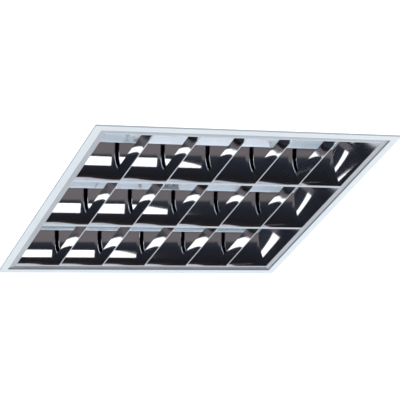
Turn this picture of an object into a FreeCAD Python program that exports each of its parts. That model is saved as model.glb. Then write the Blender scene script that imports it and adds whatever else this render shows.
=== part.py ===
import FreeCAD, Part
import math
import os

# Recessed ceiling light for a 600 mm ceiling module: a steel tray with three lamps
# above a hinged mirror louvre of 3 rows by 6 cells.
# x runs along the lamps, y across the rows, z up. z = 0 is the underside of the flange.

Vector = FreeCAD.Vector

# ---- Housing
frame_size = 596.0        # over the flange
flange_width = 15.0       # flange seen from below
lip_height = 3.0          # turned-up outer edge of the flange
sheet = 1.0               # steel of tray and end plates
tray_height = 93.0        # flange face to top of the roof
tab_width = 12.0          # end plate tab under the roof
bead_radius = 5.0         # stiffening beads pressed up in the roof
bead_length = 380.0

# ---- Louvre
louvre_gap = 1.0          # shadow gap round the louvre
recess = 2.5              # louvre underside above the flange face
band_width = 11.0         # rail seen from below
rail_sheet = 1.0
rail_height = 15.0
row_count = 3
cell_count = 6
louvre_depth = 55.0
wall_flare = 45.0         # how far a trough wall leans in at its top
wall_share = 0.25         # part of the flare reached halfway up
hem_width = 3.5           # flat hem at the foot of a trough wall
mirror_sheet = 0.6
blade_edge = 2.0          # width of a blade's lower edge
blade_flare = 25.0        # how far a blade face leans out at its top
blade_share = 0.42
blade_middle = 21.0       # height of a blade under the lamp
notch_half = 63.0         # half-width of the low middle of a blade
notch_fillet = 6.0
wing_point = (27.0, 48.0)  # inner corner of the wing beside a trough wall: y, height
wing_fillet = 5.0
seat_gap = 0.2            # blade end to trough wall

# ---- Louvre hinge and spring clips
hinge_inset = 8.0         # hinge axis from the louvre's far edge
hinge_rise = 3.5          # hinge axis above the louvre's underside
pin_radius = 1.5
pin_head_radius = 2.3
pin_head = 1.2
pin_reach = 2.5           # pin end beyond the inner face of the end plate
turning_gap = 0.05        # radial clearance of a turning pin or rotor
clip_width = 16.0
clip_sheet = 0.4
clip_drop = 8.0
clip_place = 190.0        # clip centre from the middle of the near rail
wall_clearance = 0.3      # clip to tray wall

# ---- Lamps and lampholders
lamp_radius = 8.0
cap_length = 12.5
lamp_height = 70.0        # lamp axis above the flange face
lamp_pin_radius = 1.18
lamp_pin_spacing = 4.75
lamp_pin_length = 6.0
holder_gap = 0.3          # cap face to holder face
holder_width = 20.0
holder_depth = 8.0
holder_back = 0.2         # holder to end plate
rotor_radius = 7.0
rotor_depth = 6.6
rotor_slot = 2.6
slot_floor = 0.8
entry_slot = 3.2

# ---- Control gear and supply
ballast_length = 280.0
ballast_width = 30.0
ballast_height = 21.0
ballast_lug = 10.0
lug_thickness = 1.5
ballast_rounding = 2.0
connector_length = 18.0
connector_drop = 6.0
connector_pitch = 4.0
connector_well = 5.0
terminal_length = 34.0
terminal_width = 18.0
terminal_height = 15.0
terminal_pitch = 10.0
terminal_well = 2.6
entry_place = 70.0        # cable entry from the middle of the roof
entry_radius = 8.0        # hole in the roof
cable_radius = 4.5        # bore of the grommet
grommet_flange = 2.5
grommet_thickness = 5.0
earth_place = -60.0
stud_radius = 2.0
stud_length = 12.0
nut_width = 7.0
nut_height = 3.2
wire_radius = 0.9
wire_gap = 0.1            # wire to roof
wire_turn = 14.0          # where the leads rise beyond the control gear

# ---- Fasteners and hanging brackets
rivet_radius = 1.6
rivet_head_radius = 3.2
rivet_head = 1.3
hole_gap = 0.05           # radial, rivet or screw in its hole
bracket_width = 24.0
bracket_sheet = 1.5
bracket_overlap = 28.0    # bracket on the tray wall
bracket_rise = 20.0       # bracket above the roof
bracket_hole_radius = 3.25
bracket_place = 200.0
screw_radius = 1.8
screw_head_radius = 3.4
screw_head = 2.0

# ---- Worked out from the sizes above
half = frame_size / 2
wall_inside = half - flange_width
wall_outside = wall_inside + sheet
roof_under = tray_height - sheet
louvre_half = wall_inside - louvre_gap
field_half = louvre_half - band_width
row_pitch = 2 * field_half / row_count
cell_pitch = 2 * field_half / cell_count
row_half = row_pitch / 2
trough_foot = row_half - hem_width
row_centres = [row_pitch * (i - (row_count - 1) / 2) for i in range(row_count)]
blade_places = [cell_pitch * (i + 1 - cell_count / 2) for i in range(cell_count - 1)]
hinge_y = louvre_half - hinge_inset
hinge_z = recess + hinge_rise
lamp_length = 2 * (wall_inside - holder_back - holder_depth - holder_gap)  # 549 mm over the caps
holder_face = lamp_length / 2 + holder_gap
tab_under = roof_under - sheet
gear_row = row_half        # control gear stands over the strip between two rows
tab_middle = wall_inside - tab_width / 2
terminal_places = [-terminal_pitch, 0.0, terminal_pitch]

os.makedirs("parts", exist_ok=True)


def save(name, *solids):
    shape = solids[0] if len(solids) == 1 else Part.makeCompound(list(solids))
    shape.exportStep("parts/" + name + ".step")


def box(x0, x1, y0, y1, z0, z1):
    return Part.makeBox(x1 - x0, y1 - y0, z1 - z0, Vector(x0, y0, z0))


def cylinder(radius, start, end):
    axis = Vector(*end) - Vector(*start)
    return Part.makeCylinder(radius, axis.Length, Vector(*start), axis)


def face(strokes, place):
    """Face bounded by strokes joined in order: one point is a corner, three are an arc."""
    edges = []
    last = place(*strokes[-1][-1])
    for stroke in strokes:
        points = [place(*point) for point in stroke]
        if (points[0] - last).Length > 1e-6:
            edges.append(Part.makeLine(last, points[0]))
        if len(points) == 3:
            edges.append(Part.Arc(*points).toShape())
        last = points[-1]
    return Part.Face(Part.Wire(edges))


def lean(foot, flare, share, low, high):
    """Three points between two heights on the arc that leans by flare over the louvre's depth."""
    middle = louvre_depth / 2
    part = share * flare
    centre = (flare ** 2 / 2 + middle ** 2 - part ** 2) / (flare - 2 * part)
    rise = ((part ** 2 + middle ** 2) / 2 - part * centre) / middle
    radius = math.copysign(math.hypot(centre, rise), centre)

    def point(h):
        return foot + centre - math.copysign(math.sqrt(radius ** 2 - (h - rise) ** 2), centre), h
    return [point(low), point((low + high) / 2), point(high)]


def quadrant(side, low, high):
    """Wedge that mitres the piece on one side of the frame: near, far, left or right."""
    reach = frame_size
    corners = {
        "near": [(-reach, -reach), (reach, -reach)],
        "far": [(reach, reach), (-reach, reach)],
        "left": [(-reach, reach), (-reach, -reach)],
        "right": [(reach, -reach), (reach, reach)],
    }[side]
    outline = [(point,) for point in [(0.0, 0.0)] + corners]
    wedge = face(outline, lambda x, y: Vector(x, y, low))
    return wedge.extrude(Vector(0, 0, high - low))


# ---- Steel tray and end plates

def flange(side):
    """Flange strip with its turned-up lip, mitred at both ends."""
    strip = [
        ((wall_outside, 0.0),), ((half, 0.0),), ((half, lip_height),),
        ((half - sheet, lip_height),), ((half - sheet, sheet),), ((wall_outside, sheet),),
    ]
    places = {
        "near": (lambda u, h: Vector(-half, -u, h), Vector(frame_size, 0, 0)),
        "far": (lambda u, h: Vector(-half, u, h), Vector(frame_size, 0, 0)),
        "left": (lambda u, h: Vector(-u, -half, h), Vector(0, frame_size, 0)),
        "right": (lambda u, h: Vector(u, -half, h), Vector(0, frame_size, 0)),
    }
    place, run = places[side]
    return face(strip, place).extrude(run).common(quadrant(side, -sheet, tray_height))


def roof_bead(y):
    """Long bead with round ends, pressed up in the roof; the sheet stays one thickness."""
    def body(radius):
        bar = cylinder(radius, (-bead_length / 2, y, roof_under), (bead_length / 2, y, roof_under))
        ends = [Part.makeSphere(radius, Vector(s * bead_length / 2, y, roof_under)) for s in (-1, 1)]
        return bar.fuse(ends)
    return body(bead_radius), body(bead_radius - sheet)


def tray_body():
    x = wall_outside
    tray = box(-x, x, -wall_outside, wall_outside, 0, tray_height)
    tray = tray.cut(box(-x, x, -wall_inside, wall_inside, 0, roof_under))
    tray = tray.fuse([flange("near"), flange("far")])
    beads = [roof_bead(y) for y in row_centres]
    above = box(-x, x, -x, x, roof_under, tray_height + bead_radius)
    tray = tray.fuse([bead[0].common(above) for bead in beads])
    tray = tray.cut(Part.makeCompound([bead[1] for bead in beads]))
    for rx, ry in roof_rivets:
        tray = tray.cut(cylinder(rivet_radius + hole_gap, (rx, ry, roof_under), (rx, ry, tray_height)))
    for bx, side in brackets:
        for rx, rz in bracket_rivets(bx):
            tray = tray.cut(wall_hole(rx, rz, side))
    for sx, sy in ballast_screws:
        tray = tray.cut(cylinder(screw_radius + hole_gap, (sx, sy, roof_under), (sx, sy, tray_height)))
    tray = tray.cut(cylinder(entry_radius, (entry_place, gear_row, roof_under),
                             (entry_place, gear_row, tray_height)))
    tray = tray.cut(cylinder(stud_radius + hole_gap, (earth_place, gear_row, roof_under),
                             (earth_place, gear_row, tray_height)))
    return tray.removeSplitter()


def end_plate(side):
    """End wall with its flange below and a tab turned in under the roof."""
    s = -1 if side == "left" else 1
    xs = sorted((s * wall_inside, s * wall_outside))
    wall = box(xs[0], xs[1], -wall_inside, wall_inside, 0, roof_under)
    xs = sorted((s * wall_inside, s * (wall_inside - tab_width)))
    tab = box(xs[0], xs[1], -wall_inside + tab_width, wall_inside - tab_width, tab_under, roof_under)
    plate = wall.fuse([tab, flange(side)])
    for rx, ry in roof_rivets:
        plate = plate.cut(cylinder(rivet_radius + hole_gap, (rx, ry, tab_under), (rx, ry, roof_under)))
    hole = cylinder(pin_radius + turning_gap, (s * wall_inside, hinge_y, hinge_z),
                    (s * wall_outside, hinge_y, hinge_z))
    return plate.cut(hole).removeSplitter()


roof_rivets = [(s * tab_middle, y) for s in (-1, 1) for y in (-gear_row, gear_row)]


def rivet(x, y, z_under, z_over, turn=None):
    """Rivet along z: domed head above z_over, upset tail below z_under."""
    shank = cylinder(rivet_radius, (x, y, z_under), (x, y, z_over))
    head = Part.makeCone(rivet_head_radius, rivet_radius, rivet_head, Vector(x, y, z_over))
    tail = cylinder(rivet_radius * 1.4, (x, y, z_under - rivet_head), (x, y, z_under))
    return shank.fuse([head, tail]).removeSplitter()


# ---- Hanging brackets on the outside of the tray

brackets = [(s * bracket_place, t) for s in (-1, 1) for t in (-1, 1)]


def bracket_rivets(x):
    z = roof_under - bracket_overlap / 2
    return [(x - bracket_width / 4, z), (x + bracket_width / 4, z)]


def wall_hole(x, z, side):
    return cylinder(rivet_radius + hole_gap, (x, side * wall_inside, z),
                    (x, side * (wall_outside + bracket_sheet), z))


def hanging_bracket(x, side):
    """Flat tongue with a round top, riveted to the wall, with a hole for a wire or rod."""
    low = roof_under - bracket_overlap
    hole_z = tray_height + bracket_rise - bracket_width / 2
    ys = sorted((side * wall_outside, side * (wall_outside + bracket_sheet)))
    plate = box(x - bracket_width / 2, x + bracket_width / 2, ys[0], ys[1], low, hole_z)
    top = cylinder(bracket_width / 2, (x, ys[0], hole_z), (x, ys[1], hole_z))
    plate = plate.fuse(top)
    plate = plate.cut(cylinder(bracket_hole_radius, (x, ys[0], hole_z), (x, ys[1], hole_z)))
    for rx, rz in bracket_rivets(x):
        plate = plate.cut(wall_hole(rx, rz, side))
    return plate.removeSplitter()


def wall_rivet(x, z, side):
    """Rivet through the wall and a bracket, head outside."""
    inner = side * wall_inside
    outer = side * (wall_outside + bracket_sheet)
    shank = cylinder(rivet_radius, (x, inner, z), (x, outer, z))
    head = Part.makeCone(rivet_head_radius, rivet_radius, rivet_head,
                         Vector(x, outer, z), Vector(0, side, 0))
    tail = cylinder(rivet_radius * 1.4, (x, inner - side * rivet_head, z), (x, inner, z))
    return shank.fuse([head, tail]).removeSplitter()


# ---- Mirror louvre

def wall_line(foot, low, high):
    return lean(foot, -wall_flare, wall_share, low, high)


def blade_line(foot, low, high, turn=1):
    return lean(foot, turn * blade_flare, blade_share, low, high)


def louvre_rail(side):
    """Angle rail round the louvre: flat band below, upstand outside, mitred ends."""
    low = recess
    angle = [
        ((field_half, low),), ((louvre_half, low),), ((louvre_half, low + rail_height),),
        ((louvre_half - rail_sheet, low + rail_height),),
        ((louvre_half - rail_sheet, low + rail_sheet),), ((field_half, low + rail_sheet),),
    ]
    reach = louvre_half
    places = {
        "near": (lambda u, h: Vector(-reach, -u, h), Vector(2 * reach, 0, 0)),
        "far": (lambda u, h: Vector(-reach, u, h), Vector(2 * reach, 0, 0)),
        "left": (lambda u, h: Vector(-u, -reach, h), Vector(0, 2 * reach, 0)),
        "right": (lambda u, h: Vector(u, -reach, h), Vector(0, 2 * reach, 0)),
    }
    place, run = places[side]
    rail = face(angle, place).extrude(run).common(quadrant(side, 0, tray_height))
    if side in ("left", "right"):
        s = -1 if side == "left" else 1
        rail = rail.cut(cylinder(pin_radius + hole_gap, (s * (louvre_half - rail_sheet), hinge_y, hinge_z),
                                 (s * louvre_half, hinge_y, hinge_z)))
    return rail


def trough_reflector(y, side):
    """Long mirror wall of a trough: an arc above a flat hem."""
    top = louvre_depth
    inner = wall_line(trough_foot, 0.0, top)
    outer = wall_line(trough_foot + mirror_sheet, mirror_sheet, top)
    strokes = [inner[::-1], ((row_half, 0.0),), ((row_half, mirror_sheet),), outer]
    section = face(strokes, lambda u, h: Vector(-field_half, y + side * u, recess + h))
    return section.extrude(Vector(2 * field_half, 0, 0))


def trough_space(y, x0, x1):
    """Room between the two walls of a trough, less the seat gap."""
    right = wall_line(trough_foot - seat_gap, 0.0, louvre_depth)
    left = [(-u, h) for u, h in right]
    section = face([right, left[::-1]], lambda u, h: Vector(x0, y + u, recess + h))
    return section.extrude(Vector(x1 - x0, 0, 0))


def lamp_notch(y, x0, x1):
    """Room cut from a blade for the light of the lamp, between two wings."""
    wall_top = wall_line(trough_foot - seat_gap, 0.0, louvre_depth)[2][0]
    right = [(notch_half, blade_middle), wing_point, (wall_top, louvre_depth), (wall_top, louvre_depth + 1)]
    outline = [(point,) for point in right + [(-u, h) for u, h in right[::-1]]]
    section = face(outline, lambda u, h: Vector(x0, y + u, recess + h))
    notch = section.extrude(Vector(x1 - x0, 0, 0))

    def corners(u, h):
        return [edge for edge in notch.Edges
                if abs(edge.CenterOfMass.z - recess - h) < 1e-6
                and abs(abs(edge.CenterOfMass.y - y) - u) < 1e-6]
    notch = notch.makeFillet(notch_fillet, corners(notch_half, blade_middle))
    return notch.makeFillet(wing_fillet, corners(*wing_point))


def cross_blade(x, y):
    """Folded blade of V section across one trough."""
    edge = blade_edge / 2
    outer = blade_line(edge, 0.0, louvre_depth)
    inner = blade_line(edge - mirror_sheet, mirror_sheet, louvre_depth)
    strokes = [
        outer, inner[::-1],
        [(-u, h) for u, h in inner], [(-u, h) for u, h in outer[::-1]],
    ]
    section = face(strokes, lambda u, h: Vector(x + u, y - row_half, recess + h))
    fold = section.extrude(Vector(0, row_pitch, 0))
    reach = edge + blade_flare + 1
    fold = fold.common(trough_space(y, x - reach, x + reach))
    return fold.cut(lamp_notch(y, x - reach, x + reach))


def end_reflector(y, side):
    """Curved mirror that closes one end of a trough."""
    edge = blade_edge / 2
    inner = blade_line(field_half - edge, 0.0, louvre_depth, -1)
    outer = blade_line(field_half - edge + mirror_sheet, mirror_sheet, louvre_depth, -1)
    strokes = [inner[::-1], ((field_half, 0.0),), ((field_half, mirror_sheet),), outer]
    section = face(strokes, lambda u, h: Vector(side * u, y - row_half, recess + h))
    plate = section.extrude(Vector(0, row_pitch, 0))
    xs = sorted((side * (field_half + 1), side * (field_half - blade_flare - blade_edge)))
    return plate.common(trough_space(y, xs[0], xs[1]))


def hinge_pin(side):
    inner = louvre_half - rail_sheet
    pin = cylinder(pin_radius, (side * inner, hinge_y, hinge_z),
                   (side * (wall_inside + pin_reach), hinge_y, hinge_z))
    head = cylinder(pin_head_radius, (side * (inner - pin_head), hinge_y, hinge_z),
                    (side * inner, hinge_y, hinge_z))
    return pin.fuse(head).removeSplitter()


def spring_clip(x):
    """Leaf spring pushed over the near rail; its outer leg grips the tray wall."""
    outer = wall_inside - wall_clearance
    rail_in = louvre_half - rail_sheet
    rail_out = louvre_half
    top = recess + rail_height
    foot = top - clip_drop
    strokes = [
        ((rail_in - clip_sheet, foot),), ((rail_in, foot),), ((rail_in, top),), ((rail_out, top),),
        ((rail_out, top - clip_sheet),), ((outer - clip_sheet, top - clip_drop / 2),),
        ((rail_out, foot),), ((rail_out + clip_sheet, foot),), ((outer, top - clip_drop / 2),),
        ((rail_out + clip_sheet, top + clip_sheet),), ((rail_in - clip_sheet, top + clip_sheet),),
    ]
    section = face(strokes, lambda u, h: Vector(x - clip_width / 2, -u, h))
    return section.extrude(Vector(clip_width, 0, 0))


# ---- Lamps and lampholders

def lamp_tube(y):
    glass_half = lamp_length / 2 - cap_length
    return cylinder(lamp_radius, (-glass_half, y, lamp_height), (glass_half, y, lamp_height))


def lamp_cap(y, side):
    """Metal cap with two pins; the pins lie level when the lamp is locked."""
    end = lamp_length / 2
    cap = cylinder(lamp_radius, (side * (end - cap_length), y, lamp_height), (side * end, y, lamp_height))
    pins = []
    for offset in (-lamp_pin_spacing / 2, lamp_pin_spacing / 2):
        pins.append(cylinder(lamp_pin_radius, (side * end, y + offset, lamp_height),
                             (side * (end + lamp_pin_length), y + offset, lamp_height)))
    return cap.fuse(pins).removeSplitter()


def holder_rotor(y, side):
    """Turning insert of a lampholder with a slot for the lamp pins."""
    near = holder_face
    far = holder_face + rotor_depth
    disc = cylinder(rotor_radius, (side * near, y, lamp_height), (side * far, y, lamp_height))
    xs = sorted((side * near, side * (far - slot_floor)))
    slot = box(xs[0], xs[1], y - rotor_radius, y + rotor_radius,
               lamp_height - rotor_slot / 2, lamp_height + rotor_slot / 2)
    return disc.cut(slot)


def lampholder(y, side):
    """Lampholder with a round lower end, fixed under the end plate's tab."""
    near = holder_face
    far = holder_face + holder_depth
    xs = sorted((side * near, side * far))
    body = box(xs[0], xs[1], y - holder_width / 2, y + holder_width / 2, lamp_height, tab_under)
    body = body.fuse(cylinder(holder_width / 2, (xs[0], y, lamp_height), (xs[1], y, lamp_height)))
    bore_end = side * (near + rotor_depth + turning_gap)
    body = body.cut(cylinder(rotor_radius + turning_gap, (side * near, y, lamp_height),
                             (bore_end, y, lamp_height)))
    xs = sorted((side * near, bore_end))
    body = body.cut(box(xs[0], xs[1], y - entry_slot / 2, y + entry_slot / 2,
                        lamp_height - holder_width, lamp_height))
    return body.removeSplitter()


# ---- Control gear and supply

ballast_screws = [(s * (ballast_length - ballast_lug) / 2, -gear_row) for s in (-1, 1)]


def ballast_case():
    """Slim control gear hung under the roof, with a lug at each end."""
    body_half = ballast_length / 2 - ballast_lug
    low = roof_under - ballast_height
    y0, y1 = -gear_row - ballast_width / 2, -gear_row + ballast_width / 2
    body = box(-body_half, body_half, y0, y1, low, roof_under)
    rims = [e for e in body.Edges if abs(e.CenterOfMass.z - low) < 1e-6]
    body = body.makeFillet(ballast_rounding, rims)
    lugs = box(-ballast_length / 2, ballast_length / 2, y0 + ballast_rounding, y1 - ballast_rounding,
               roof_under - lug_thickness, roof_under)
    body = body.fuse(lugs)
    for x, y in ballast_screws:
        body = body.cut(cylinder(screw_radius + hole_gap, (x, y, low), (x, y, roof_under)))
    return body.removeSplitter()


def ballast_connector(side):
    """Push-in connector strip under one end of the control gear."""
    outer = ballast_length / 2 - ballast_lug - ballast_rounding
    xs = sorted((side * outer, side * (outer - connector_length)))
    low = roof_under - ballast_height
    y_half = ballast_width / 2 - 2 * ballast_rounding
    strip = box(xs[0], xs[1], -gear_row - y_half, -gear_row + y_half, low - connector_drop, low)
    ways = int(2 * y_half // connector_pitch)
    for i in range(ways):
        y = -gear_row + connector_pitch * (i - (ways - 1) / 2)
        for well in (xs[0], xs[1] - connector_well):
            strip = strip.cut(box(well, well + connector_well, y - 1, y + 1,
                                  low - connector_drop + 1, low - 1))
    return strip


def ballast_screw(x, y):
    low = roof_under - lug_thickness
    head = cylinder(screw_head_radius, (x, y, low - screw_head), (x, y, low))
    shank = cylinder(screw_radius, (x, y, low), (x, y, tray_height))
    return head.fuse(shank).removeSplitter()


def terminal_block():
    low = roof_under - terminal_height
    block = box(-terminal_length / 2, terminal_length / 2, gear_row - terminal_width / 2,
                gear_row + terminal_width / 2, low, roof_under)
    for x in terminal_places:
        block = block.cut(cylinder(terminal_well, (x, gear_row, low),
                                   (x, gear_row, low + terminal_height / 2)))
        block = block.cut(cylinder(terminal_well - 0.6,
                                   (x, gear_row - terminal_width / 2, low + terminal_height * 0.7),
                                   (x, gear_row + terminal_width / 2, low + terminal_height * 0.7)))
    return block


def terminal_screw(x):
    top = roof_under - terminal_height / 2
    screw = cylinder(terminal_well - hole_gap, (x, gear_row, top - terminal_height / 4), (x, gear_row, top))
    slot = box(x - terminal_well, x + terminal_well, gear_row - 0.4, gear_row + 0.4,
               top - terminal_height / 4, top - terminal_height / 4 + 1)
    return screw.cut(slot)


def cable_grommet():
    """Rubber ring that lines the cable entry, turned about its own axis."""
    middle = (roof_under + tray_height) / 2
    low, high = middle - grommet_thickness / 2, middle + grommet_thickness / 2
    groove = entry_radius - hole_gap
    outer = entry_radius + grommet_flange
    outline = [
        ((cable_radius, low),), ((outer, low),), ((outer, roof_under),), ((groove, roof_under),),
        ((groove, tray_height),), ((outer, tray_height),), ((outer, high),), ((cable_radius, high),),
    ]
    section = face(outline, lambda u, h: Vector(entry_place + u, gear_row, h))
    return section.revolve(Vector(entry_place, gear_row, 0), Vector(0, 0, 1), 360)


def earth_stud():
    top = tray_height + nut_height / 2
    stud = cylinder(stud_radius, (earth_place, gear_row, roof_under - stud_length),
                    (earth_place, gear_row, tray_height))
    head = cylinder(nut_width / 2, (earth_place, gear_row, tray_height), (earth_place, gear_row, top))
    return stud.fuse(head).removeSplitter()


def earth_nut():
    corner = nut_width / math.sqrt(3)
    points = [(corner * math.cos(math.radians(60 * i)), corner * math.sin(math.radians(60 * i)))
              for i in range(6)]
    hexagon = face([(point,) for point in points],
                   lambda u, v: Vector(earth_place + u, gear_row + v, roof_under - nut_height))
    nut = hexagon.extrude(Vector(0, 0, nut_height))
    return nut.cut(cylinder(stud_radius + hole_gap, (earth_place, gear_row, roof_under - nut_height),
                            (earth_place, gear_row, roof_under)))


# ---- Internal wiring

def wire(*points):
    """Round wire along straight runs, with a ball at each corner."""
    runs = [cylinder(wire_radius, a, b) for a, b in zip(points, points[1:])]
    balls = [Part.makeSphere(wire_radius, Vector(*point)) for point in points[1:-1]]
    return runs[0].fuse(runs[1:] + balls).removeSplitter()


def lamp_lead(number, side):
    """Lead from a well of the control gear's connector to one lampholder."""
    centre = row_centres[number - 1]
    y = -gear_row + connector_pitch * (-2, 1, 2)[number - 1]
    well = ballast_length / 2 - ballast_lug - ballast_rounding - connector_well
    turn = ballast_length / 2 + wire_turn - (0, 0, 5)[number - 1]
    low = roof_under - ballast_height - connector_drop / 2
    high = roof_under - wire_radius - wire_gap
    end = centre + rotor_radius
    drop = tab_middle - tab_width
    entry = tab_under - 4 * wire_radius
    path = [(well, y, low), (turn, y, low), (turn, y, high), (turn, end, high), (drop, end, high),
            (drop, end, entry), (holder_face, end, entry)]
    return wire(*[(side * x, wy, z) for x, wy, z in path])


def supply_lead(x, way):
    """Lead from the terminal block over the middle lamp to the control gear's connector."""
    start = gear_row - terminal_width / 4
    outside = gear_row - terminal_width
    z = roof_under - terminal_height * 0.3
    high = roof_under - wire_radius - wire_gap
    low = roof_under - ballast_height - connector_drop / 2
    beside = ballast_width / 2 + 3 * wire_radius - gear_row
    y = -gear_row + connector_pitch * way
    well = ballast_length / 2 - ballast_lug - ballast_rounding - connector_length + connector_well
    return wire((x, start, z), (x, outside, z), (x, outside, high), (x, beside, high),
                (x, beside, low), (x, y, low), (well, y, low))


def earth_lead():
    """Lead from the terminal block to the earth stud."""
    x = terminal_places[0]
    z = roof_under - terminal_height * 0.3
    outside = gear_row - terminal_width
    return wire((x, gear_row - terminal_width / 4, z), (x, outside, z), (earth_place, outside, z),
                (earth_place, gear_row - stud_radius, z))


# ---- Every piece in its own file

save("tray_body", tray_body())
for end in ("left", "right"):
    save("end_plate_" + end, end_plate(end))
save("roof_rivets", *[rivet(x, y, tab_under, tray_height) for x, y in roof_rivets])
save("hanging_brackets", *[hanging_bracket(x, side) for x, side in brackets])
save("bracket_rivets", *[wall_rivet(rx, rz, side) for x, side in brackets for rx, rz in bracket_rivets(x)])

for edge_name in ("near", "far", "left", "right"):
    save("louvre_rail_" + edge_name, louvre_rail(edge_name))
for number, centre in enumerate(row_centres, 1):
    for wall_name, wall_side in (("near", -1), ("far", 1)):
        save("trough_reflector_%s_%d" % (wall_name, number), trough_reflector(centre, wall_side))
    for order, place_x in enumerate(blade_places, 1):
        save("cross_blade_%d_%d" % (number, order), cross_blade(place_x, centre))
    save("lamp_tube_%d" % number, lamp_tube(centre))
    save("lamp_caps_%d" % number, *[lamp_cap(centre, s) for s in (-1, 1)])
    save("holder_rotors_%d" % number, *[holder_rotor(centre, s) for s in (-1, 1)])
    for end, s in (("left", -1), ("right", 1)):
        save("lampholder_%s_%d" % (end, number), lampholder(centre, s))
for end, s in (("left", -1), ("right", 1)):
    save("end_reflectors_" + end, *[end_reflector(centre, s) for centre in row_centres])
    save("hinge_pin_" + end, hinge_pin(s))
save("spring_clips", *[spring_clip(s * clip_place) for s in (-1, 1)])

save("ballast_case", ballast_case())
save("ballast_connectors", *[ballast_connector(s) for s in (-1, 1)])
save("ballast_screws", *[ballast_screw(x, y) for x, y in ballast_screws])
save("terminal_block", terminal_block())
save("terminal_screws", *[terminal_screw(x) for x in terminal_places])
save("cable_grommet", cable_grommet())
save("earth_stud", earth_stud())
save("earth_nut", earth_nut())
save("internal_wiring", supply_lead(terminal_places[2], 1), supply_lead(terminal_places[1], 0), earth_lead(),
     *[lamp_lead(number, s) for number in (1, 2, 3) for s in (-1, 1)])
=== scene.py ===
import math

import bmesh
import bpy
from mathutils import Matrix, Vector


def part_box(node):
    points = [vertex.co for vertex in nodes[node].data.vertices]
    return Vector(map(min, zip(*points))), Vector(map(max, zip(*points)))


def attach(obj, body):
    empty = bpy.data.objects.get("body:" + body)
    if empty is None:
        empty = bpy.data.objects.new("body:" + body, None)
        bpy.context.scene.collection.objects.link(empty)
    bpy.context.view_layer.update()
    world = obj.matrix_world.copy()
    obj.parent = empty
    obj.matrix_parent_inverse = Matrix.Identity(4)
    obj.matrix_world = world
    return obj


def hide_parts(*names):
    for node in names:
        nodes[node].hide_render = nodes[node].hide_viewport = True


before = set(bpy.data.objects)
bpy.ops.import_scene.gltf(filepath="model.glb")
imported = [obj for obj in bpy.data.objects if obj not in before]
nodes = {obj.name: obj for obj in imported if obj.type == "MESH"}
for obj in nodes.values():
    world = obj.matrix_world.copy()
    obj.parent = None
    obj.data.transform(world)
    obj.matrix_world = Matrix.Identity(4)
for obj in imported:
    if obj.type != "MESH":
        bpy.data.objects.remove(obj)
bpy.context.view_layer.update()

# Recessed mirror-louvre ceiling light. Metres; x along the lamps, y across the rows, z up,
# z = 0 at the underside of the flange.

# ---- Sizes of the louvre. The cross blades are lower than the CAD ones, which they replace.
row_count = 3
cell_count = 6
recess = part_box("louvre_rail_near")[0].z
field_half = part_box("trough_reflector_near_1")[1].x
louvre_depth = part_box("trough_reflector_near_1")[1].z - recess
row_pitch = 2 * field_half / row_count
cell_pitch = 2 * field_half / cell_count
hem_width = 0.0035
wall_flare, wall_share = 0.045, 0.25
blade_edge = 0.002
end_flare, end_share = 0.025, 0.42
blade_height = 0.022
blade_spread = 0.0035
blade_bend = 1.3
mirror_sheet = 0.0006
seat_gap = 0.0002
curve_steps = 28
smallest_step = 1e-6
# flange_middle, flange_half and lip_top bound where painted shade goes on the tray's upright faces.
flange_middle, flange_half = 0.2905, 0.0072
lip_top = 0.018
row_half = row_pitch / 2
trough_foot = row_half - hem_width
row_centres = [row_pitch * (i - (row_count - 1) / 2) for i in range(row_count)]
blade_places = [cell_pitch * (i + 1 - cell_count / 2) for i in range(cell_count - 1)]
heights = [louvre_depth * i / curve_steps for i in range(curve_steps + 1)]


# ---- Camera, from a fit to the photograph's outline

def photo_camera():
    azimuth, elevation, roll = math.radians(26.22), math.radians(24.76), math.radians(-10.55)
    place = Vector((-1.4318, -2.9420, -1.4972))
    sensor, lens = 36.0, 171.09
    look = Vector((math.sin(azimuth) * math.cos(elevation),
                   math.cos(azimuth) * math.cos(elevation), math.sin(elevation)))
    right = look.cross(Vector((0, 0, 1))).normalized()
    up = right.cross(look)
    turned_right = right * math.cos(roll) + up * math.sin(roll)
    turned_up = up * math.cos(roll) - right * math.sin(roll)
    data = bpy.data.cameras.new("photo_camera")
    data.sensor_width = sensor
    data.lens = lens
    data.clip_start, data.clip_end = 0.1, 100.0
    camera = bpy.data.objects.new("photo_camera", data)
    bpy.context.scene.collection.objects.link(camera)
    turn = Matrix((turned_right, turned_up, -look)).transposed()
    camera.matrix_world = Matrix.Translation(place) @ turn.to_4x4()
    bpy.context.scene.camera = camera


photo_camera()


# ---- Node materials

def new_material(name):
    material = bpy.data.materials.new(name)
    material.use_nodes = True
    tree = material.node_tree
    shader = tree.nodes["Principled BSDF"]
    return material, tree, shader


def object_coordinates(tree, scale=(1, 1, 1)):
    where = tree.nodes.new("ShaderNodeTexCoord")
    mapping = tree.nodes.new("ShaderNodeMapping")
    mapping.inputs["Scale"].default_value = scale
    tree.links.new(where.outputs["Object"], mapping.inputs["Vector"])
    return mapping.outputs["Vector"]


def noise(tree, vector, scale, detail=3.0, roughness=0.5):
    texture = tree.nodes.new("ShaderNodeTexNoise")
    texture.inputs["Scale"].default_value = scale
    texture.inputs["Detail"].default_value = detail
    texture.inputs["Roughness"].default_value = roughness
    tree.links.new(vector, texture.inputs["Vector"])
    return texture.outputs["Fac"]


def colour_ramp(tree, factor, low, high, start=0.3, end=0.7):
    ramp = tree.nodes.new("ShaderNodeValToRGB")
    ramp.color_ramp.elements[0].position = start
    ramp.color_ramp.elements[1].position = end
    ramp.color_ramp.elements[0].color = (*low, 1)
    ramp.color_ramp.elements[1].color = (*high, 1)
    tree.links.new(factor, ramp.inputs["Fac"])
    return ramp.outputs["Color"]


def between(tree, factor, low, high):
    span = tree.nodes.new("ShaderNodeMapRange")
    span.inputs["To Min"].default_value = low
    span.inputs["To Max"].default_value = high
    tree.links.new(factor, span.inputs["Value"])
    return span.outputs["Result"]


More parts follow.
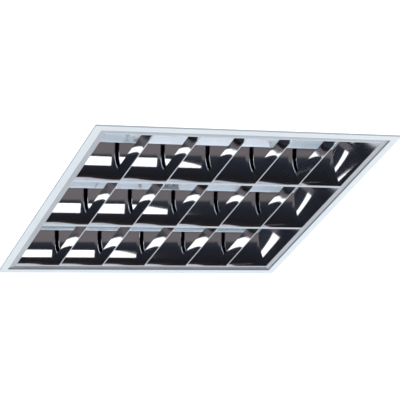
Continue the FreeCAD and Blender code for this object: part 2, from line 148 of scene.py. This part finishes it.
def bump(tree, shader, height, strength, distance):
    node = tree.nodes.new("ShaderNodeBump")
    node.inputs["Strength"].default_value = strength
    node.inputs["Distance"].default_value = distance
    tree.links.new(height, node.inputs["Height"])
    tree.links.new(node.outputs["Normal"], shader.inputs["Normal"])


def powder_coat(name, low, high, rough_low=0.32, rough_high=0.46):
    """Powder coat: faint cloudiness in colour and gloss, fine orange peel."""
    material, tree, shader = new_material(name)
    vector = object_coordinates(tree)
    broad = noise(tree, vector, 9.0)
    fine = noise(tree, vector, 620.0, 2.0)
    tree.links.new(colour_ramp(tree, broad, low, high), shader.inputs["Base Color"])
    tree.links.new(between(tree, broad, rough_low, rough_high), shader.inputs["Roughness"])
    bump(tree, shader, fine, 0.10, 0.0002)
    shader.inputs["Specular IOR Level"].default_value = 0.45
    return material


def calculate(tree, operation, first, second):
    """Math node on two sockets or numbers."""
    node = tree.nodes.new("ShaderNodeMath")
    node.operation = operation
    for socket, value in zip(node.inputs, (first, second)):
        if isinstance(value, float):
            socket.default_value = value
        else:
            tree.links.new(value, socket)
    return node.outputs["Value"]


def painted_edge_shade(material):
    """Paints shade, as a darker colour, onto the upright faces of the lip and of the gap round the
    louvre.
    """
    tree = material.node_tree
    shader = tree.nodes["Principled BSDF"]
    place = tree.nodes.new("ShaderNodeSeparateXYZ")
    tree.links.new(object_coordinates(tree), place.inputs["Vector"])
    facing = tree.nodes.new("ShaderNodeSeparateXYZ")
    geometry = tree.nodes.new("ShaderNodeNewGeometry")
    tree.links.new(geometry.outputs["True Normal"], facing.inputs["Vector"])
    across = calculate(tree, "MAXIMUM", calculate(tree, "ABSOLUTE", place.outputs["X"], 0.0),
                       calculate(tree, "ABSOLUTE", place.outputs["Y"], 0.0))
    from_middle = calculate(tree, "SUBTRACT", across, flange_middle)
    edge = calculate(tree, "GREATER_THAN", calculate(tree, "ABSOLUTE", from_middle, 0.0), flange_half)
    steepness = calculate(tree, "ABSOLUTE", facing.outputs["Z"], 0.0)
    upright = calculate(tree, "LESS_THAN", steepness, 0.5)
    low = calculate(tree, "LESS_THAN", place.outputs["Z"], lip_top)
    painted_shade_mask = calculate(tree, "MULTIPLY", calculate(tree, "MULTIPLY", edge, upright), low)
    shade = tree.nodes.new("ShaderNodeMix")
    shade.data_type = "RGBA"
    tree.links.new(painted_shade_mask, shade.inputs[0])
    tree.links.new(shader.inputs["Base Color"].links[0].from_socket, shade.inputs[6])
    # Colour of the painted shade on those upright faces.
    shade.inputs[7].default_value = (0.40, 0.44, 0.48, 1)
    tree.links.new(shade.outputs[2], shader.inputs["Base Color"])


def rolled_metal(name, low, high, rough_low, rough_high, grain, strength, along="x"):
    """Sheet metal with a rolling grain that runs along one axis."""
    material, tree, shader = new_material(name)
    stretch = {"x": (0.02, 1, 1), "y": (1, 0.02, 1), "z": (1, 1, 0.02)}[along]
    lines = noise(tree, object_coordinates(tree, stretch), grain, 4.0, 0.6)
    broad = noise(tree, object_coordinates(tree), 14.0)
    tree.links.new(colour_ramp(tree, broad, low, high), shader.inputs["Base Color"])
    tree.links.new(between(tree, lines, rough_low, rough_high), shader.inputs["Roughness"])
    shader.inputs["Metallic"].default_value = 1.0
    bump(tree, shader, lines, strength, 0.0001)
    return material


def moulded_plastic(name, low, high, roughness=0.35):
    material, tree, shader = new_material(name)
    vector = object_coordinates(tree)
    tree.links.new(colour_ramp(tree, noise(tree, vector, 60.0), low, high), shader.inputs["Base Color"])
    tree.links.new(between(tree, noise(tree, vector, 300.0), roughness - 0.06, roughness + 0.08),
                   shader.inputs["Roughness"])
    bump(tree, shader, noise(tree, vector, 1500.0, 2.0), 0.12, 0.0001)
    return material


def lamp_coating():
    """White fluorescent coating behind clear glass."""
    material, tree, shader = new_material("lamp_coating")
    vector = object_coordinates(tree, (0.2, 1, 1))
    clouds = noise(tree, vector, 40.0)
    tree.links.new(colour_ramp(tree, clouds, (0.84, 0.85, 0.84), (0.90, 0.90, 0.89)),
                   shader.inputs["Base Color"])
    tree.links.new(between(tree, clouds, 0.10, 0.18), shader.inputs["Roughness"])
    shader.inputs["Coat Weight"].default_value = 1.0
    shader.inputs["Coat Roughness"].default_value = 0.03
    return material


def zinc_plate():
    """Bright zinc with its faint crystal pattern."""
    material, tree, shader = new_material("zinc_plate")
    cells = tree.nodes.new("ShaderNodeTexVoronoi")
    cells.inputs["Scale"].default_value = 220.0
    tree.links.new(object_coordinates(tree), cells.inputs["Vector"])
    tree.links.new(colour_ramp(tree, cells.outputs["Distance"], (0.55, 0.57, 0.60), (0.72, 0.73, 0.75)),
                   shader.inputs["Base Color"])
    tree.links.new(between(tree, cells.outputs["Distance"], 0.22, 0.42), shader.inputs["Roughness"])
    shader.inputs["Metallic"].default_value = 1.0
    return material


tray_white = powder_coat("tray_white", (0.72, 0.79, 0.85), (0.77, 0.83, 0.88))
# Painted shade on the upright faces of the tray's lip and round the louvre.
painted_edge_shade(tray_white)
gear_white = powder_coat("gear_white", (0.72, 0.74, 0.77), (0.80, 0.81, 0.83), 0.38, 0.5)
rail_grey = powder_coat("rail_grey", (0.43, 0.46, 0.51), (0.49, 0.51, 0.56), 0.34, 0.48)
# The far rail has the rails' powder coat darkened into painted shade.
far_rail_painted_shade = powder_coat("far_rail_painted_shade", (0.22, 0.22, 0.25), (0.27, 0.27, 0.30), 0.34, 0.48)
louvre_mirror = rolled_metal("louvre_mirror", (0.86, 0.87, 0.90), (0.92, 0.92, 0.94),
                             0.05, 0.10, 900.0, 0.010)
cap_metal = rolled_metal("cap_metal", (0.70, 0.71, 0.73), (0.80, 0.80, 0.82),
                         0.22, 0.38, 1400.0, 0.05)
brass = rolled_metal("brass", (0.74, 0.66, 0.50), (0.82, 0.75, 0.60),
                     0.20, 0.36, 900.0, 0.04, "z")
holder_plastic = moulded_plastic("holder_plastic", (0.80, 0.80, 0.78), (0.86, 0.86, 0.84), 0.28)
connector_plastic = moulded_plastic("connector_plastic", (0.34, 0.35, 0.37), (0.42, 0.43, 0.45), 0.42)
grommet_rubber = moulded_plastic("grommet_rubber", (0.025, 0.025, 0.026), (0.05, 0.05, 0.052), 0.55)
wire_sleeve = moulded_plastic("wire_sleeve", (0.78, 0.78, 0.76), (0.86, 0.86, 0.84), 0.4)
lamp_white = lamp_coating()
zinc = zinc_plate()

node_finish = {
    "tray_body": tray_white, "end_plate_left": tray_white, "end_plate_right": tray_white,
    "louvre_rail_near": rail_grey, "louvre_rail_far": far_rail_painted_shade,
    "louvre_rail_left": rail_grey, "louvre_rail_right": rail_grey,
    "roof_rivets": zinc, "hanging_brackets": zinc, "bracket_rivets": zinc,
    "ballast_case": gear_white, "ballast_connectors": connector_plastic, "ballast_screws": zinc,
    "terminal_block": connector_plastic, "terminal_screws": brass, "cable_grommet": grommet_rubber,
    "earth_stud": brass, "earth_nut": brass, "internal_wiring": wire_sleeve,
    "hinge_pin_left": zinc, "hinge_pin_right": zinc, "spring_clips": zinc,
}
for number in range(1, row_count + 1):
    node_finish["lamp_tube_%d" % number] = lamp_white
    node_finish["lamp_caps_%d" % number] = cap_metal
    node_finish["holder_rotors_%d" % number] = holder_plastic
    for end in ("left", "right"):
        node_finish["lampholder_%s_%d" % (end, number)] = holder_plastic


def dress(node, material):
    slots = node.material_slots
    for slot in slots:
        slot.material = material
    if not slots:
        node.data.materials.append(material)


for name, material in node_finish.items():
    if name in nodes:
        dress(nodes[name], material)


# ---- Mesh helpers

def new_object(mesh, name, material):
    """Object at the origin made from a bmesh."""
    data = bpy.data.meshes.new(name)
    mesh.to_mesh(data)
    mesh.free()
    data.materials.append(material)
    made = bpy.data.objects.new(name, data)
    bpy.context.scene.collection.objects.link(made)
    return made


def mirror_piece(mesh, name, node):
    """Thickens mirror sheet into a piece that rides on the louvre and stands for a CAD node."""
    bmesh.ops.solidify(mesh, geom=mesh.faces[:], thickness=mirror_sheet)
    bmesh.ops.recalc_face_normals(mesh, faces=mesh.faces)
    piece = new_object(mesh, name, louvre_mirror)
    piece.data.shade_smooth()
    piece.data.set_sharp_from_angle(angle=math.radians(32))
    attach(piece, "louvre")
    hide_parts(node)


def lean(flare, share, height):
    """How far an arc over the louvre's depth leans at a height: the whole flare at the top, and
    its share halfway up."""
    middle = louvre_depth / 2
    part = share * flare
    centre = (flare ** 2 / 2 + middle ** 2 - part ** 2) / (flare - 2 * part)
    rise = ((part ** 2 + middle ** 2) / 2 - part * centre) / middle
    return centre - math.sqrt(centre ** 2 + rise ** 2 - (height - rise) ** 2)


def wall_lean(height):
    return lean(wall_flare, wall_share, height)


def end_lean(height):
    return lean(end_flare, end_share, height)


def chain(mesh, points):
    """Row of vertices joined by edges."""
    verts = [mesh.verts.new(point) for point in points]
    return [mesh.edges.new(pair) for pair in zip(verts, verts[1:])]


def pull(mesh, edges, way):
    """Draws a row of edges out into a sheet."""
    made = bmesh.ops.extrude_edge_only(mesh, edges=edges)
    verts = [item for item in made["geom"] if isinstance(item, bmesh.types.BMVert)]
    bmesh.ops.translate(mesh, verts=verts, vec=way)


# ---- Mirror troughs, end reflectors and blades

def trough_wall(number, centre, side_name, side):
    """Curved mirror wall with a flat hem at its foot."""
    mesh = bmesh.new()
    profile = [(row_half, 0.0)] + [(trough_foot - wall_lean(h), h) for h in heights]
    points = [(-field_half, centre + side * u, recess + h) for u, h in profile]
    pull(mesh, chain(mesh, points), Vector((2 * field_half, 0, 0)))
    bmesh.ops.recalc_face_normals(mesh, faces=mesh.faces)
    inward = Vector((0, -side, 0))
    tall = max(mesh.faces, key=lambda f: f.calc_center_median().z)
    if tall.normal.dot(inward) < 0:
        bmesh.ops.reverse_faces(mesh, faces=mesh.faces)
    place = "%s_%d" % (side_name, number)
    mirror_piece(mesh, "mirror_wall_" + place, "trough_reflector_" + place)


def end_outline(top):
    """Half outline of a sheet between the trough walls, as (distance from the row's middle, height)."""
    levels = [h for h in heights if h < top - smallest_step] + [top]
    return [(trough_foot - seat_gap - wall_lean(h), h) for h in levels]


def cut_level(mesh):
    """Cuts a sheet into level strips, so that it can be bent."""
    for h in heights[1:-1]:
        bmesh.ops.bisect_plane(mesh, geom=mesh.verts[:] + mesh.edges[:] + mesh.faces[:], dist=1e-7,
                               plane_co=(0, 0, recess + h), plane_no=(0, 0, 1))


def sheet_from_outline(mesh, outline, y):
    """Flat blank in the plane x = 0."""
    right = [mesh.verts.new((0, y + u, recess + h)) for u, h in outline]
    left = [mesh.verts.new((0, y - u, recess + h)) for u, h in reversed(outline)]
    mesh.faces.new(right + left)


def cross_blade(number, order, x, y):
    """Folded blade: two bent sheets that meet in a narrow lower edge."""
    mesh = bmesh.new()
    sheet_from_outline(mesh, end_outline(blade_height), y)
    cut_level(mesh)
    twin = bmesh.ops.duplicate(mesh, geom=mesh.verts[:] + mesh.edges[:] + mesh.faces[:])
    twin_verts = {item for item in twin["geom"] if isinstance(item, bmesh.types.BMVert)}
    for vert in mesh.verts:
        side = -1 if vert in twin_verts else 1
        rise = (vert.co.z - recess) / blade_height
        vert.co.x = x + side * (blade_edge / 2 + blade_spread * rise ** blade_bend)
    feet = [edge for edge in mesh.edges if all(v.co.z < recess + smallest_step for v in edge.verts)]
    bmesh.ops.bridge_loops(mesh, edges=feet)
    bmesh.ops.recalc_face_normals(mesh, faces=mesh.faces)
    lowest = min(mesh.faces, key=lambda f: f.calc_center_median().z)
    if lowest.normal.z > 0:
        bmesh.ops.reverse_faces(mesh, faces=mesh.faces)
    place = "%d_%d" % (number, order)
    mirror_piece(mesh, "mirror_blade_" + place, "cross_blade_" + place)


def end_mirrors(side_name, side):
    """Curved mirrors that close the rows at one end of the louvre."""
    mesh = bmesh.new()
    for y in row_centres:
        sheet_from_outline(mesh, end_outline(louvre_depth), y)
    cut_level(mesh)
    for vert in mesh.verts:
        inward = blade_edge / 2 + end_lean(vert.co.z - recess)
        vert.co.x = side * (field_half - inward)
    bmesh.ops.recalc_face_normals(mesh, faces=mesh.faces)
    for face in mesh.faces:
        if face.normal.x * side > 0:
            face.normal_flip()
    mirror_piece(mesh, "mirror_ends_" + side_name, "end_reflectors_" + side_name)


for number, centre in enumerate(row_centres, 1):
    trough_wall(number, centre, "near", -1)
    trough_wall(number, centre, "far", 1)
    for order, place_x in enumerate(blade_places, 1):
        cross_blade(number, order, place_x, centre)
end_mirrors("left", -1)
end_mirrors("right", 1)


# ---- Ceiling, floor and studio light

ceiling_height = 0.0032
ceiling_board = 0.0006
ceiling_reach = 14.0
cut_half = 0.2862
floor_drop = -5.2


def stage_sheet(mesh, name, material):
    """Part of the room, which mirrors don't show."""
    sheet = new_object(mesh, name, material)
    sheet.visible_glossy = False


def holed_sheet(name, height, facing, material):
    """Large square sheet with a square hole for the tray."""
    mesh = bmesh.new()
    made = bmesh.ops.create_grid(mesh, x_segments=1, y_segments=1, size=cut_half)
    middle = made["verts"][0].link_faces[0]
    ring = bmesh.ops.extrude_edge_only(mesh, edges=mesh.edges[:])
    outer = [item for item in ring["geom"] if isinstance(item, bmesh.types.BMVert)]
    bmesh.ops.scale(mesh, verts=outer, vec=(ceiling_reach / cut_half, ceiling_reach / cut_half, 1))
    bmesh.ops.delete(mesh, geom=[middle], context="FACES_ONLY")
    bmesh.ops.translate(mesh, verts=mesh.verts, vec=(0, 0, height))
    bmesh.ops.recalc_face_normals(mesh, faces=mesh.faces)
    if next(iter(mesh.faces)).normal.z * facing < 0:
        bmesh.ops.reverse_faces(mesh, faces=mesh.faces)
    stage_sheet(mesh, name, material)


def stage_paint(name, grey, glow):
    material, tree, shader = new_material(name)
    shader.inputs["Base Color"].default_value = (grey, grey, grey, 1)
    shader.inputs["Roughness"].default_value = 0.8
    shader.inputs["Specular IOR Level"].default_value = 0.1
    shader.inputs["Emission Color"].default_value = (1, 1, 1, 1)
    shader.inputs["Emission Strength"].default_value = glow
    return material


def stage_set():
    holed_sheet("ceiling_underside", ceiling_height, -1, stage_paint("ceiling_paint", 0.4, 0.95))
    holed_sheet("ceiling_top", ceiling_height + ceiling_board, 1,
                stage_paint("ceiling_top_paint", 0.86, 0.12))
    mesh = bmesh.new()
    bmesh.ops.create_grid(mesh, x_segments=1, y_segments=1, size=ceiling_reach)
    bmesh.ops.translate(mesh, verts=mesh.verts, vec=(0, 0, floor_drop))
    stage_sheet(mesh, "pale_floor", stage_paint("floor_paint", 0.82, 0.1))


stage_set()


# What the mirrors show of the room, from straight down (0) to straight up (1).
room_bands = ((0.055, (0.15, 0.135, 0.14)), (0.075, (0.03, 0.035, 0.045)), (0.14, (0.018, 0.02, 0.03)),
              (0.42, (0.012, 0.012, 0.014)), (0.50, (0.03, 0.02, 0.02)))
# Windows that the far walls show: row, lower and upper edge, left and right edge.
window_places = ((1, -0.534, -0.215, -0.10, 0.17), (2, -0.737, -0.272, -0.10, 0.27),
                 (3, -0.600, -0.250, -0.10, 0.30))
window_front = -0.43
window_brightness = 1.5
# Taller windows on the left, which the blades show by way of the far walls.
left_window_edges = (-1.30, -0.42)
left_window_drops = (5.00, 0.20)
glow_gap = 0.001
glow_colour = (0.93, 0.96, 1.0)


def softbox(name, place, target, width, depth, brightness, colour=(1, 1, 1), mirrored=True):
    """Rectangular area light of even radiance, shown either by mirrors or by paint."""
    data = bpy.data.lights.new(name, "AREA")
    data.shape = "RECTANGLE"
    data.size, data.size_y = width, depth
    data.energy = brightness * math.pi * width * depth
    data.color = colour
    light = bpy.data.objects.new(name, data)
    bpy.context.scene.collection.objects.link(light)
    aim = (Vector(target) - Vector(place)).normalized()
    turn = aim.to_track_quat("-Z", "Y").to_matrix().to_4x4()
    light.matrix_world = Matrix.Translation(Vector(place)) @ turn
    light.visible_camera = False
    light.visible_glossy = mirrored
    light.visible_diffuse = not mirrored
    return light


def shine_only_on(light, *names):
    receivers = bpy.data.collections.new(light.name)
    for name in names:
        receivers.objects.link(bpy.data.objects[name])
    light.light_linking.receiver_collection = receivers


def mirrored_window(name, number, low, high, left, right):
    """Upright panel in front of the light that only one row's far mirror wall shows."""
    middle = Vector(((left + right) / 2, window_front, (low + high) / 2))
    panel = softbox(name, middle, middle + Vector((0, 1, 0)), right - left, high - low,
                    window_brightness)
    shine_only_on(panel, "mirror_wall_far_%d" % number)


def studio():
    world = bpy.data.worlds.new("studio")
    bpy.context.scene.world = world
    world.use_nodes = True
    tree = world.node_tree
    tree.nodes.clear()
    out = tree.nodes.new("ShaderNodeOutputWorld")
    path = tree.nodes.new("ShaderNodeLightPath")
    where = tree.nodes.new("ShaderNodeTexCoord")
    split = tree.nodes.new("ShaderNodeSeparateXYZ")
    tree.links.new(where.outputs["Generated"], split.inputs["Vector"])
    ramp = tree.nodes.new("ShaderNodeValToRGB")
    ramp.color_ramp.elements[0].position = 0.0
    ramp.color_ramp.elements[0].color = (0.17, 0.15, 0.155, 1)
    ramp.color_ramp.elements[1].position = 1.0
    ramp.color_ramp.elements[1].color = (0.75, 0.77, 0.80, 1)
    for position, colour in room_bands:
        stop = ramp.color_ramp.elements.new(position)
        stop.color = (*colour, 1)
    level = tree.nodes.new("ShaderNodeMapRange")
    level.inputs["From Min"].default_value = -1.0
    tree.links.new(split.outputs["Z"], level.inputs["Value"])
    tree.links.new(level.outputs["Result"], ramp.inputs["Fac"])
    pale = tree.nodes.new("ShaderNodeBackground")
    pale.inputs["Color"].default_value = (*glow_colour, 1)
    pale.inputs["Strength"].default_value = 0.42
    mirror_side = tree.nodes.new("ShaderNodeBackground")
    far = tree.nodes.new("ShaderNodeMapRange")
    far.inputs["From Min"].default_value = 0.45
    far.inputs["From Max"].default_value = 0.65
    tree.links.new(split.outputs["Y"], far.inputs["Value"])
    backdrop = tree.nodes.new("ShaderNodeMix")
    backdrop.data_type = "RGBA"
    backdrop.inputs[7].default_value = (0.66, 0.70, 0.75, 1)
    tree.links.new(far.outputs["Result"], backdrop.inputs[0])
    tree.links.new(ramp.outputs["Color"], backdrop.inputs[6])
    tree.links.new(backdrop.outputs[2], mirror_side.inputs["Color"])
    choose = tree.nodes.new("ShaderNodeMixShader")
    tree.links.new(path.outputs["Is Glossy Ray"], choose.inputs["Fac"])
    tree.links.new(pale.outputs["Background"], choose.inputs[1])
    tree.links.new(mirror_side.outputs["Background"], choose.inputs[2])
    tree.links.new(choose.outputs["Shader"], out.inputs["Surface"])
    for number, low, high, left, right in window_places:
        mirrored_window("window_%d" % number, number, low, high, left, right)
        mirrored_window("left_window_%d" % number, number, low - left_window_drops[0],
                        low - left_window_drops[1], *left_window_edges)
    softbox("right_panel", (1.3, 0.35, -1.0), (0, 0, 0), 0.8, 0.8, 2.2, mirrored=False)
    softbox("overhead_panel", (-1.2, -1.6, 2.4), (0, 0, 0), 1.6, 1.2, 1.6, mirrored=False)
    for number, y in enumerate(row_centres, 1):
        place = (0, y, recess + louvre_depth + glow_gap)
        glow = softbox("roof_glow_%d" % number, place, (0, y, 1.0), 2 * field_half, 0.08, 2.4,
                       glow_colour, mirrored=False)
        shine_only_on(glow, "tray_body", "end_plate_left", "end_plate_right", "ballast_case")


studio()

scene = bpy.context.scene
scene.view_settings.view_transform = "Standard"
scene.view_settings.look = "None"
